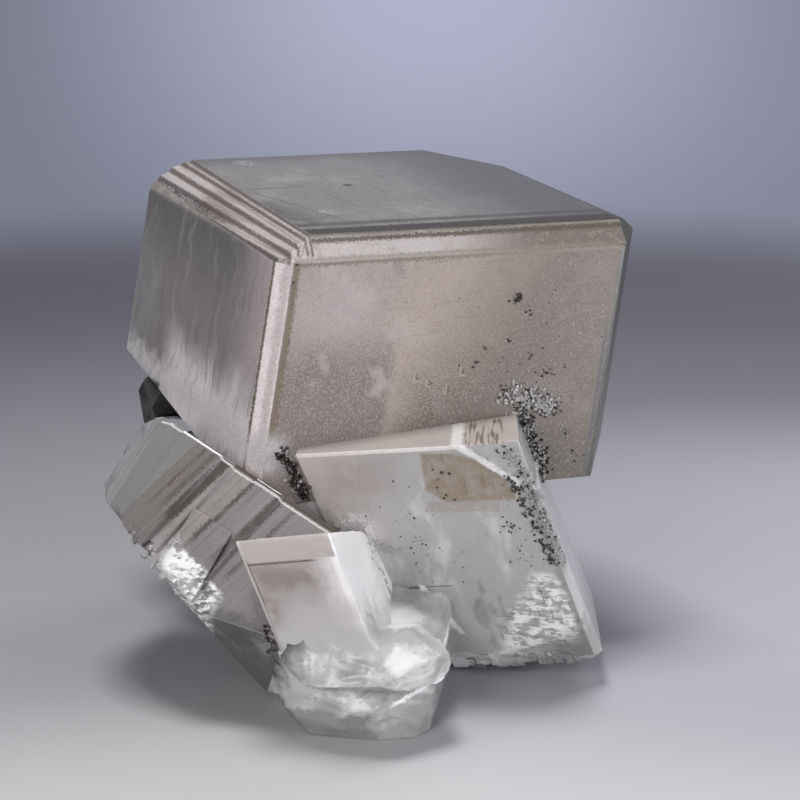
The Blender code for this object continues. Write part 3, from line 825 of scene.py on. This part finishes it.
class Skin:
    """What one crystal's surface looks like, as marks laid over each other."""

    def __init__(self, tone, milk, rough, depth):
        self.tone, self.milk, self.rough, self.relief = linear(*tone), milk, rough, 0.0
        self.depth = depth           # how much of the light scatters under the surface, 0 to 1

    def lay(self, share, tone=None, milk=None, rough=None, relief=None):
        """Lays one mark where its share is 1. Relief is how far it stands out, in millimetres."""
        if tone is not None:
            self.tone = calcite_look.blend(share, self.tone, linear(*tone) if isinstance(tone, tuple) else tone)
        if milk is not None:
            self.milk = self.toward(share, self.milk, milk)
        if rough is not None:
            self.rough = self.toward(share, self.rough, rough)
        if relief is not None:
            self.relief = share * relief + self.relief

    def toward(self, share, old, new):
        return calcite_look.node("ShaderNodeMix", {"data_type": "FLOAT"}, {0: share, 2: old, 3: new})

    def shade(self, amount):
        """Darkens or lightens the tone by a value around 1."""
        grey = calcite_look.node("ShaderNodeCombineXYZ", {}, {0: amount, 1: amount, 2: amount})
        self.tone = calcite_look.vector("MULTIPLY", self.tone, grey)

    def shader(self):
        bump = None
        if isinstance(self.relief, Value):
            bump = calcite_look.node("ShaderNodeBump", {}, {"Strength": 1.0, "Distance": MM, "Height": self.relief})
        milky = calcite_look.node("ShaderNodeBsdfPrincipled", {}, {
            "Base Color": self.tone, "Roughness": self.rough, "IOR": CALCITE_IOR, "Normal": bump,
            "Subsurface Weight": self.depth, "Subsurface Radius": (1.0, 0.95, 0.9), "Subsurface Scale": 1.6 * MM})
        return calcite_look.node("ShaderNodeMixShader", {}, {0: self.milk, 1: glass, 2: milky})


def across(u, v, start, end):
    """How far a point (u, v) is to the left of the line from start to end."""
    run = math.dist(start, end)
    nu, nv = -(end[1] - start[1]) / run, (end[0] - start[0]) / run
    part = v.maths("MULTIPLY_ADD", v, nv, -(start[0] * nu + start[1] * nv))
    return u.maths("MULTIPLY_ADD", u, nu, part)


def inside(u, v, corners, soft):
    """1 inside a convex outline whose corners run anticlockwise in (u, v)."""
    depth = None
    for start, end in zip(corners, corners[1:] + corners[:1]):
        edge = across(u, v, start, end)
        depth = edge if depth is None else depth.least(edge)
    return depth.rise(-soft, soft)


def round_spot(u, v, middle, reach, soft):
    """1 within reach of a place in (u, v)."""
    offset = calcite_look.node("ShaderNodeCombineXYZ", {}, {0: u - middle[0], 1: v - middle[1]})
    return calcite_look.vector("LENGTH", offset).rise(reach + soft, reach)


def grain_at(size, detail=2.0, rough=0.6):
    """Noise around 0, from about -0.5 to 0.5."""
    return calcite_look.noise(place, size, detail, rough) - 0.5


def lines_along(u, v, size, stretch, detail=1.0):
    """Noise drawn out into lines along v: it changes quickly with u and slowly with v."""
    drawn = calcite_look.node("ShaderNodeCombineXYZ", {}, {0: u, 1: v / stretch})
    return calcite_look.noise(drawn, size, detail, 0.6)


cloud = grain_at(9.0, 2.0)
wisp = grain_at(2.2, 2.0)
dust = grain_at(0.30, 1.0, 0.7)
print("skins ready")

# %% [markdown]
# The block's own marks. Its faces are worn satin by dust. Brown dust lies along the terraces at its
# upper left edge, dark brown lines run under its bevels, the front has warm and pinkish clouds, and
# the right rim is clear. right, down and back are the distances along the block's edges.

# %% The block's left side and top
x, y, z = [calcite_look.node("ShaderNodeSeparateXYZ", {}, {0: place}, axis) for axis in range(3)]
right, down, back = BLOCK.fields(calcite_look, place)
block_skin = Skin((136, 129, 122), 1.0, 0.40, 0.0)
ragged = wisp * 1.2 + dust * 0.5

block_skin.lay((cloud + wisp * 0.5).rise(-0.05, 0.30) * 0.7, (166, 159, 154))
hidden_growth = lines_along(down + cloud * 3 + dust * 0.2, right + back, 1.2, 40)
block_skin.lay(hidden_growth.rise(0.50, 0.68) * 0.5, (104, 97, 90))

left_side = right.rise(0.30, 0.05)
block_skin.lay(left_side, (128, 122, 121))
block_skin.lay(left_side * down.rise(20, 3) * back.rise(6, 22), (100, 97, 95))
block_skin.lay(left_side * (back + wisp * 3).rise(17, 2), (168, 157, 155))
block_skin.lay(left_side * (back + cloud * 20).rise(40, 56) * down.between(18, 36, 9), (132, 130, 129))
block_skin.lay(left_side * (down + cloud * 8).rise(21, 30) * back.rise(42, 34), (214, 208, 206))
waves = lines_along(back + cloud * 9 + wisp * 0.8, down, 1.8, 9)
block_skin.lay(left_side * waves.rise(0.54, 0.70) * 0.45, (108, 102, 100))
block_skin.lay(left_side * waves.rise(0.44, 0.30) * 0.35, (158, 152, 150))

top_side = down.rise(0.30, 0.05)
block_skin.lay(top_side, (134, 130, 127), rough=0.30)
block_skin.lay(top_side * (right + cloud * 14).rise(28, 50), (98, 96, 96))
block_skin.lay(top_side * (right + back * 0.3 + cloud * 10).rise(18, 6), (90, 86, 83))
block_skin.lay(top_side * (cloud + wisp * 0.3).rise(-0.05, 0.25) * right.rise(42, 24), (150, 146, 143))
block_skin.lay(top_side * (back + wisp * 5).rise(46, 57) * 0.8, (98, 95, 94))
scores = lines_along(right + back * 0.02, back, 0.8, 20)
block_skin.lay(top_side * scores.rise(0.55, 0.80) * 0.8, (112, 110, 109))
block_skin.lay(top_side * (back + dust * 0.6).near(33.0, 0.10, 0.15) * right.between(8, 17, 0.6), (96, 93, 90))
block_skin.lay(top_side * across(right, back, (7.4, 30.2), (13.8, 10.6)).near(0, 0.08, 0.15)
               * back.between(11, 30, 1.0), (100, 97, 94))
block_skin.lay(top_side * round_spot(right + wisp, back, (24.1, 32.6), 0.5, 0.5), (78, 74, 70))
flecks = dust.rise(0.04, 0.14) * (round_spot(right, back, (14.4, 51.5), 1.0, 1.6)
                                  + round_spot(right, back, (13.4, 16.0), 0.9, 1.3)).least(1)
block_skin.lay(top_side * flecks, (205, 205, 206))
print("block sides and top laid")

# %% The block's front
front_side = back.rise(0.30, 0.05)
block_skin.lay(front_side, (176, 164, 159))
block_skin.lay(front_side * (right + cloud * 14).rise(14, 24), (180, 165, 151))
block_skin.lay(front_side * (down + cloud * 10).rise(13, 22) * (right + ragged).rise(20.6, 18.6), (140, 128, 124))
block_skin.lay(front_side * (right + down * 0.4 + cloud * 12).rise(26, 50), (121, 110, 100))
block_skin.lay(front_side * (down + cloud * 8).rise(16, 30) * (right + cloud * 8).rise(19, 27), (117, 108, 98))
block_skin.lay(front_side * (down + cloud * 6).rise(26, 38) * right.rise(36, 50), (108, 98, 84))
pale = round_spot(right + wisp * 4, (down + wisp * 4) * 1.3, (9.5, 13.5), 2.5, 6.5)
block_skin.lay(front_side * pale * 0.6, (190, 180, 180))
block_skin.lay(front_side * (cloud + wisp * 0.4).rise(0.08, 0.26) * right.rise(30, 16) * 0.7, (192, 183, 181))
block_skin.lay(front_side * (cloud + wisp * 0.4).rise(-0.06, -0.22) * 0.5, (150, 136, 130))
junction = round_spot(right + wisp * 3, down + wisp * 3, (2.2, 32.8), 1.2, 3.5)
streaks = lines_along(down + right * 0.08, right, 0.9, 12)
block_skin.lay(front_side * streaks.rise(0.56, 0.72) * right.rise(14, 24) * down.rise(30, 16) * 0.5, (139, 127, 112))
# Each etch pit is painted flat: its bright wall and foot line are painted highlights, and a painted shadow lies beside
# them.
ETCH_PITS = ((23.4, 23.0), (25.6, 23.9), (28.9, 25.2), (30.8, 22.6))
for pit_right, pit_down in ETCH_PITS:
    side = right.near(pit_right, 0.08, 0.12) * (down + wisp).between(pit_down - 1.2, pit_down, 0.3)
    foot_line = down.near(pit_down, 0.06, 0.12) * (right + wisp).between(pit_right, pit_right + 0.7, 0.3)
    shadow = right.near(pit_right + 0.32, 0.08, 0.15) * down.between(pit_down - 1.0, pit_down - 0.2, 0.2)
    block_skin.lay(front_side * side.most(foot_line) * (dust * 2 + 0.5).least(1).most(0), (196, 188, 180))
    block_skin.lay(front_side * shadow * 0.6, (92, 84, 76))
print("block front laid")

# %% The block's bevels and rim
strip_top = (back + dust * 0.7).between(0.2, 2.85, 0.2) * down.rise(0.35, 0.5) * right.rise(1.6, 2.0)
bright_end = calcite_look.blend((right + cloud * 8).rise(22, 42), linear(190, 183, 181), linear(124, 115, 108))
block_skin.lay(strip_top, bright_end, rough=0.35)
block_skin.lay(strip_top * (wisp + dust).rise(0.05, 0.20) * 0.7, (148, 138, 130))
strip_left = (back + dust * 0.6).between(0.3, 3.6, 0.2) * right.rise(1.85, 1.75) * down.rise(2.5, 3.2)
block_skin.lay(strip_left, (238, 228, 226), rough=0.35)
block_skin.lay(strip_left * (back + dust * 0.6).near(3.55, 0.20, 0.25), (112, 99, 88))
block_skin.lay(strip_left * (back + wisp * 1.5).near(1.2, 0.3, 0.8) * 0.5, (172, 160, 156))
# Dark brown lines just under the top bevel and beside the left one.
under_top = front_side * (down + dust * 1.3).near(3.75, 0.12, 0.35)
block_skin.lay(under_top, (140, 128, 116))
block_skin.lay(front_side * (right + dust * 1.4).near(2.25, 0.25, 0.55), (132, 116, 102))
dark_edge = top_side * (back + dust * 3).near(4.7, 1.3, 0.7)
block_skin.lay(dark_edge, (66, 60, 52))
block_skin.lay(top_side * (back + dust * 3).near(8.6, 0.5, 0.8) * 0.8, (80, 74, 67))
block_skin.lay(strip_top * (back + dust * 1.0).near(2.6, 0.12, 0.35), (98, 90, 80))
block_skin.lay(strip_top * (back + dust * 1.0).near(0.35, 0.05, 0.35) * 0.7, (140, 130, 120))
rim = front_side * (right + wisp * 0.5).rise(54.2, 54.9)
block_skin.lay(rim, (118, 116, 113), milk=0.6, rough=0.2)
block_skin.lay(right.rise(55.2, 55.5), (140, 139, 138), milk=0.35, rough=0.15)
block_skin.lay(front_side * (right + dust).near(54.1, 0.10, 0.3) * down.rise(12, 20), (88, 88, 92))
print("block bevels laid")

# %% The terraces, and dust over all of the block
terrace = right / (back * 0.0061 + 1)
band = terrace.rise(5.1, 4.9) * down.rise(4.0, 3.8) * back.rise(0.5, 1.0)
block_skin.lay(band, (186, 178, 175))
fine_lines = lines_along(terrace + down * 0.6 + dust * 0.12, back, 0.34, 60)
block_skin.lay(band * fine_lines.rise(0.50, 0.62) * 0.8, (138, 128, 120))
for middle_line, reach in ((0.15, 0.12), (1.4, 0.08), (2.68, 0.10), (4.05, 0.08), (4.85, 0.14)):
    block_skin.lay(band * (terrace + dust * 0.8).near(middle_line, reach, 0.16) * 0.85, (96, 87, 79))
block_skin.lay(band * terrace.rise(1.6, 1.2) * back.rise(16, 34) * (wisp * 0.7 + dust * 1.6).rise(-0.25, 0.10), (70, 64, 59))
block_skin.lay(band * terrace.rise(0.6, 0.3) * (dust * 2 + wisp).rise(-0.15, 0.10), (80, 73, 67))
specks = calcite_look.dots(place, 0.42).rise(0.24, 0.12)
block_skin.lay(front_side * specks * dust.rise(0.0, 0.12) * 0.8, (104, 94, 84))
block_skin.lay(front_side * specks * dust.rise(-0.06, -0.14) * 0.3, (196, 187, 180))
block_skin.lay(junction, (198, 193, 192))
block_skin.lay(y.rise(20, 21) * z.rise(38.0, 37.0) * x.rise(-26, -27), (60, 58, 56))
block_skin.shade(dust * 0.75 + wisp * 0.22 + cloud * 0.15 + 0.93)
print("terraces laid")

# %% [markdown]
# The middle crystal is clearer. Its top is a cream bevel strip, brown growth ghosts hang below that,
# and old breaks at its lower right are white.

# %% The middle crystal's ghosts and strip
back, up, right = MIDDLE.fields(calcite_look, place)
middle_skin = Skin((190, 188, 186), 0.80, 0.22, 0.40)
face = back.rise(0.30, 0.05)
ragged_up, ragged_right = up + wisp * 1.0, right + wisp * 1.3
middle_skin.lay(face * right.rise(14, 2), (208, 202, 198))
veils = calcite_look.noise(calcite_look.vector("MULTIPLY", place, (0.6, 1, 0.3)), 4.5, 3.0, 0.6)
middle_skin.lay(veils.rise(0.52, 0.66) * 0.8, (214, 212, 211), milk=0.95)
middle_skin.lay(face * veils.rise(0.44, 0.34) * up.rise(26, 14), (170, 168, 168), milk=0.62)
middle_skin.lay(face * up.rise(13, 6) * right.rise(26, 20) * 0.6, (218, 216, 215))
middle_skin.lay(inside(ragged_up, ragged_right, [(37.0, 4.2), (36.6, 14.8), (30.5, 12.5), (31.0, 3.0)], 1.6) * (wisp + 0.5),
                (180, 169, 163))
golden = inside(up, right, [(37.3, 19.0), (36.9, 24.0), (34.2, 30.0), (28.7, 30.5), (28.8, 19.8), (31.0, 17.4)], 0.25)
middle_skin.lay(golden * (wisp * 1.5 + 0.85).least(1), (154, 139, 122), milk=0.9)
middle_skin.lay(golden * lines_along(right - up * 0.1, up, 0.7, 8).rise(0.55, 0.75) * 0.6, (126, 111, 94))
middle_skin.lay(inside(up, right, [(29.0, 16.8), (28.7, 28.0), (26.8, 27.2), (27.3, 16.0)], 0.3) * 0.45, (170, 155, 148))
middle_skin.lay(face * up.near(14.05, 0.03, 0.10) * right.between(6.5, 15.2, 0.3), (112, 109, 107))
top_strip = up.rise(37.9, 38.25)
middle_skin.lay(top_strip, (190, 180, 174), milk=0.93, rough=0.35)
middle_skin.lay(top_strip * right.between(26.0, 31.5, 0.6) * lines_along(right, back, 0.5, 20).rise(0.50, 0.62),
                (130, 114, 100))
middle_skin.lay(face * (up + dust * 0.3).near(37.95, 0.22, 0.18) * right.rise(27, 25), (222, 216, 212), milk=0.97)
print("middle crystal's ghosts laid")

# %% The middle crystal's breaks and rim
whites = inside(ragged_up, ragged_right, [(16.0, 29.0), (14.5, 33.2), (3.0, 32.0), (1.0, 18.5), (9.5, 23.0)], 1.2)
shatter = calcite_look.noise(calcite_look.vector("MULTIPLY", place, (0.5, 0.5, 1.3)), 1.5, 3.0, 0.7)
middle_skin.lay(face * whites * shatter.rise(0.43, 0.54), (240, 238, 237), milk=1.0, rough=0.6)
middle_skin.lay((up + wisp * 1.6).rise(2.2, 1.0) * right.between(9, 29, 2) * shatter.rise(0.40, 0.50), (232, 230, 229),
                milk=1.0, rough=0.6)
ledge = across(up, right, (38.0, 25.0), (28.6, 34.6))
middle_skin.lay((ledge + wisp * 0.8).near(-0.1, 0.35, 0.5) * (up - right * 0.2).rise(20, 22), (228, 226, 224), milk=1.0)
middle_skin.lay(face * round_spot(ragged_up, ragged_right, (24.5, 4.5), 1.0, 4.0) * (dust + wisp).rise(0.0, 0.10),
                (238, 236, 235), milk=1.0)
middle_skin.lay(face * (right + wisp * 1.4).rise(31.4, 32.4) * up.rise(36, 33), (168, 166, 166), milk=0.8)
corner = face * (right * 0.35 - up).rise(4.0, 9.0)
middle_skin.lay(corner, (158, 156, 155), milk=0.6)
plate = inside(up, right, [(14.3, 3.6), (14.2, 10.4), (10.3, 10.8), (6.4, 13.2), (4.0, 10.0), (3.0, 3.0)], 0.15)
middle_skin.lay(plate, (166, 164, 163), milk=0.85)
plate_edge = across(up, right, (6.4, 13.2), (14.2, 10.4)).near(0.2, 0.25, 0.35) * up.between(5.5, 14.2, 0.4)
middle_skin.lay(plate_edge, (238, 237, 236), milk=1.0)
middle_skin.lay(specks * dust.rise(0.10, 0.18) * up.rise(34, 28), (244, 243, 243), milk=1.0)
middle_skin.shade(dust * 0.20 + wisp * 0.12 + 1)
print("middle crystal laid")

# %% [markdown]
# The front crystal is the milkiest: a cream strip along its top with a painted shadow line under it,
# a soft grey face with brown patches, and a white right side.

# %% The front crystal's skin
back, up, right = FRONT.fields(calcite_look, place)
front_skin = Skin((204, 200, 198), 0.97, 0.38, 0.45)
face = back.rise(1.2, 0.6)
front_skin.lay(face, (172, 166, 162))
front_skin.lay(face * round_spot(up + wisp * 4, right + wisp * 4, (9.0, 7.5), 2.0, 5.0), (192, 187, 184))
# Brown patches under the top strip and near the left edge.
brown_patch = inside(up + wisp * 2.5, right + wisp * 3, [(18.6, 1.6), (17.8, 10.8), (15.6, 10.0), (15.2, 2.0)], 1.0)
front_skin.lay(face * brown_patch * (wisp * 1.6 + 0.75).least(1), (146, 133, 127))
side_brown_patch = inside(up + wisp * 2, right + wisp * 2, [(14.5, 0.9), (13.5, 3.2), (7.0, 2.6), (7.5, 0.9)], 0.9)
front_skin.lay(face * side_brown_patch * (wisp * 2 + 0.8).least(1), (146, 136, 127))
front_skin.lay((right + wisp * 3.5).rise(9.0, 14.0), (228, 223, 221), milk=0.98)
front_skin.lay(right.near(14.2, 0.25, 0.6) * up.rise(3, 8), (244, 241, 240), milk=1.0)
front_skin.lay(up.rise(19.4, 19.6), (192, 183, 180), milk=0.96)
# A painted shadow: a dark line just under the top strip.
front_skin.lay((up + dust * 0.2).near(19.2, 0.08, 0.10) * face * right.rise(12, 10), (112, 100, 90))
front_skin.lay(right.near(0.9, 0.05, 0.12) * up.rise(20, 19), (120, 108, 98))
front_skin.lay(right.rise(0.8, 0.5), (214, 208, 204))
white_side = (right - 14.4).rise(0, 0.15)
front_skin.lay(white_side, (252, 250, 249), milk=0.99)
front_skin.lay(white_side * (cloud + wisp * 0.3).rise(0.05, 0.35) * 0.5, (228, 224, 222))
front_skin.lay((up + wisp * 6).rise(15.0, 7.0), (196, 193, 192))
front_skin.shade(dust * 0.08 + wisp * 0.10 + 1)
print("front crystal laid")

# %% [markdown]
# The left crystal is grey and half clear, ruled by dark growth strips that run up across its face.
# Below, where it broke, it is white.

# %% The left crystal's skin
back, up, right = LEFT.fields(calcite_look, place)
left_skin = Skin((146, 142, 140), 0.84, 0.24, 0.25)
lean = right - up * 0.304
left_skin.lay(lean.between(-0.1, 11.3, 0.3), (128, 122, 119))
left_skin.lay(lean.rise(-0.2, -0.6), (138, 136, 134), milk=0.85, rough=0.18)
left_skin.lay(lean.between(6.8, 11.2, 0.3) * (wisp + 0.8).least(1), (160, 154, 151))
growth = lines_along(lean + dust * 0.25, up, 0.7, 150)
blotch = (cloud + wisp * 0.5).rise(-0.20, 0.15)
left_skin.lay(lean.rise(1.4, 2.0) * growth.rise(0.50, 0.66) * (up + wisp * 6).rise(7, 13) * blotch * 0.35, (106, 99, 95))
left_skin.lay(lean.rise(1.4, 2.0) * growth.rise(0.42, 0.32) * 0.22, (176, 170, 168))
STRIPS = ((1.75, 0.10, 0.7), (3.5, 0.25, 0.6), (5.7, 0.75, 0.95), (11.4, 0.30, 0.8), (16.6, 0.55, 0.85), (19.6, 0.25, 0.7))
for line, reach, depth in STRIPS:
    left_skin.lay((lean + dust * 1.6).near(line, reach, 0.25) * (up + cloud * 12).rise(9, 14) * (blotch * 0.4 + depth - 0.4),
                  (84, 77, 73))
left_skin.lay((up + dust * 0.4).rise(25.1, 25.5) * lean.rise(4, 6), (92, 85, 80))
left_skin.lay((up + dust * 0.3).near(24.95, 0.10, 0.15), (204, 200, 198), milk=1.0)
fresh = up + right * 0.24 + wisp * 3
left_skin.lay(fresh.rise(12.5, 10.0) * right.rise(8, 14), (176, 173, 172), milk=0.95, rough=0.4)
dark_end = (up + wisp * 4).rise(8.0, 5.5) * (right + wisp * 3).rise(18, 22)
left_skin.lay(dark_end, (96, 93, 91), rough=0.5)
left_skin.lay(dark_end * specks * dust.rise(0.0, 0.08), (50, 48, 46))
left_skin.lay((fresh - 11.3).near(0, 1.8, 1.2) * shatter.rise(0.41, 0.55) * right.between(14, 22, 3), (240, 239, 239), milk=1.0, rough=0.5)
left_skin.shade(dust * 0.30 + wisp * 0.15 + 1)
print("left crystal laid")

# %% [markdown]
# What is left is the broken mass that they all share: rough and grey below, white where it is fresh.

# %% The broken foot's skin
foot_skin = Skin((184, 182, 181), 0.90, 0.36, 0.50)
drawn_out = calcite_look.vector("MULTIPLY", place, (0.6, 0.5, 0.9))
flow = calcite_look.noise(drawn_out, 3.2, 3.0, 0.6)
foot_skin.lay(flow.rise(0.42, 0.68), (216, 214, 213), milk=0.97)
foot_skin.lay(calcite_look.noise(drawn_out, 0.8, 3.0, 0.6).rise(0.55, 0.68) * 0.6, (150, 147, 146))
foot_skin.lay((z + wisp * 3).rise(4.6, 3.6) * (x + wisp * 3).rise(4, 1) * y.rise(-30, -33), (172, 170, 168), milk=0.75, rough=0.2)
clear_side = (x + wisp * 2.5).rise(4, 8) * (z - x * 0.45 + wisp * 2.5).rise(2.6, 1.2)
foot_skin.lay(clear_side, (176, 174, 173), milk=0.85, rough=0.2)
skirt_rim = (z - x * 0.5 + wisp * 2).near(3.1, 0.3, 0.4) * x.rise(4, 6) * (dust + wisp).rise(-0.20, -0.05)
foot_skin.lay(skirt_rim, (250, 249, 248), milk=1.0, rough=0.6)
wedge = inside(x + wisp * 1.5, z + wisp * 1.5, [(3.5, 12.6), (6.0, 11.2), (10.0, 12.4), (5.2, 14.6)], 0.5)
foot_skin.lay(wedge * y.rise(-20, -24) * 0.8, (240, 239, 238), milk=1.0)
under_side = (x - z * 0.5 + wisp * 6).rise(-13, -18) * z.rise(22, 17)
foot_skin.lay(under_side, (62, 60, 58), milk=0.97, rough=0.6)
foot_skin.lay(under_side * (wisp + cloud).rise(0.0, 0.2) * 0.7, (98, 94, 91))
foot_skin.lay(under_side * specks * dust.rise(0.0, 0.1), (40, 38, 37))
foot_skin.lay(z.rise(17, 22) * x.rise(-20, -26), (154, 152, 150), milk=0.85, rough=0.2)
foot_skin.lay(y.rise(-4, 4) * 0.5, (150, 147, 145))
small = x.rise(-19, -22) * y.rise(0, 4) * z.rise(22, 26)
foot_skin.lay(small, (40, 39, 37), milk=0.95)
foot_skin.lay(1.0 * flow, relief=0.3)
foot_skin.shade(wisp * 0.2 + dust * 0.15 + 1)
print("foot laid")

# %% The calcite's finished material


def within(crystal, margin):
    """1 on the surface of one crystal, by its own distances along its edges."""
    outside = None
    for distance, size in zip(crystal.fields(calcite_look, place), crystal.sizes):
        far = (abs(distance - size / 2)) - size / 2
        outside = far if outside is None else outside.most(far)
    return outside.maths("LESS_THAN", outside, margin)


surface = foot_skin.shader()
for crystal, skin, margin in ((LEFT, left_skin, 0.3), (MIDDLE, middle_skin, 0.9),
                              (FRONT, front_skin, 0.1), (BLOCK, block_skin, 0.1)):
    surface = calcite_look.node("ShaderNodeMixShader", {}, {0: within(crystal, margin), 1: surface, 2: skin.shader()})
smoke = calcite_look.node("ShaderNodeVolumeAbsorption", {}, {"Color": SMOKE_COLOUR, "Density": SMOKE_DENSITY})
calcite_look.tree.links.new(surface.socket, calcite_look.output.inputs["Surface"])
calcite_look.tree.links.new(smoke.socket, calcite_look.output.inputs["Volume"])
calcite.data.materials.append(calcite_look.material)
print("calcite material:", len(calcite_look.tree.nodes), "nodes")

# %% [markdown]
# Fine pyrite looks nearly black, with small glints where a cube's face meets the light. It is a
# metal to the shader: dark, fairly rough, and a little brassy where noise makes it lighter.

# %% Pyrite
pyrite_look = Finish("pyrite")
tarnish = pyrite_look.noise(pyrite_look.place(), 0.5, 1.0).rise(0.4, 0.7)
metal = pyrite_look.node("ShaderNodeBsdfPrincipled", {}, {
    "Base Color": pyrite_look.blend(tarnish, linear(66, 64, 64), linear(118, 112, 102)), "Metallic": 0.85,
    "Roughness": 0.42})
pyrite_look.tree.links.new(metal.socket, pyrite_look.output.inputs["Surface"])
for piece in (seam_grains, patch_grains, rim_grains):
    piece.data.materials.append(pyrite_look.material)
print("pyrite material:", len(pyrite_look.tree.nodes), "nodes")

# %% What each piece stands for
PARTS = (
    (calcite, "calcite", "calcite"), (seam_grains, "pyrite_seam", "pyrite"),
    (patch_grains, "pyrite_patch", "pyrite"), (rim_grains, "pyrite_rim", "pyrite"))
for piece, node, slot in PARTS:
    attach(piece, "root")
    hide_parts(node)
print("pieces:", [piece.name for piece, _, _ in PARTS])
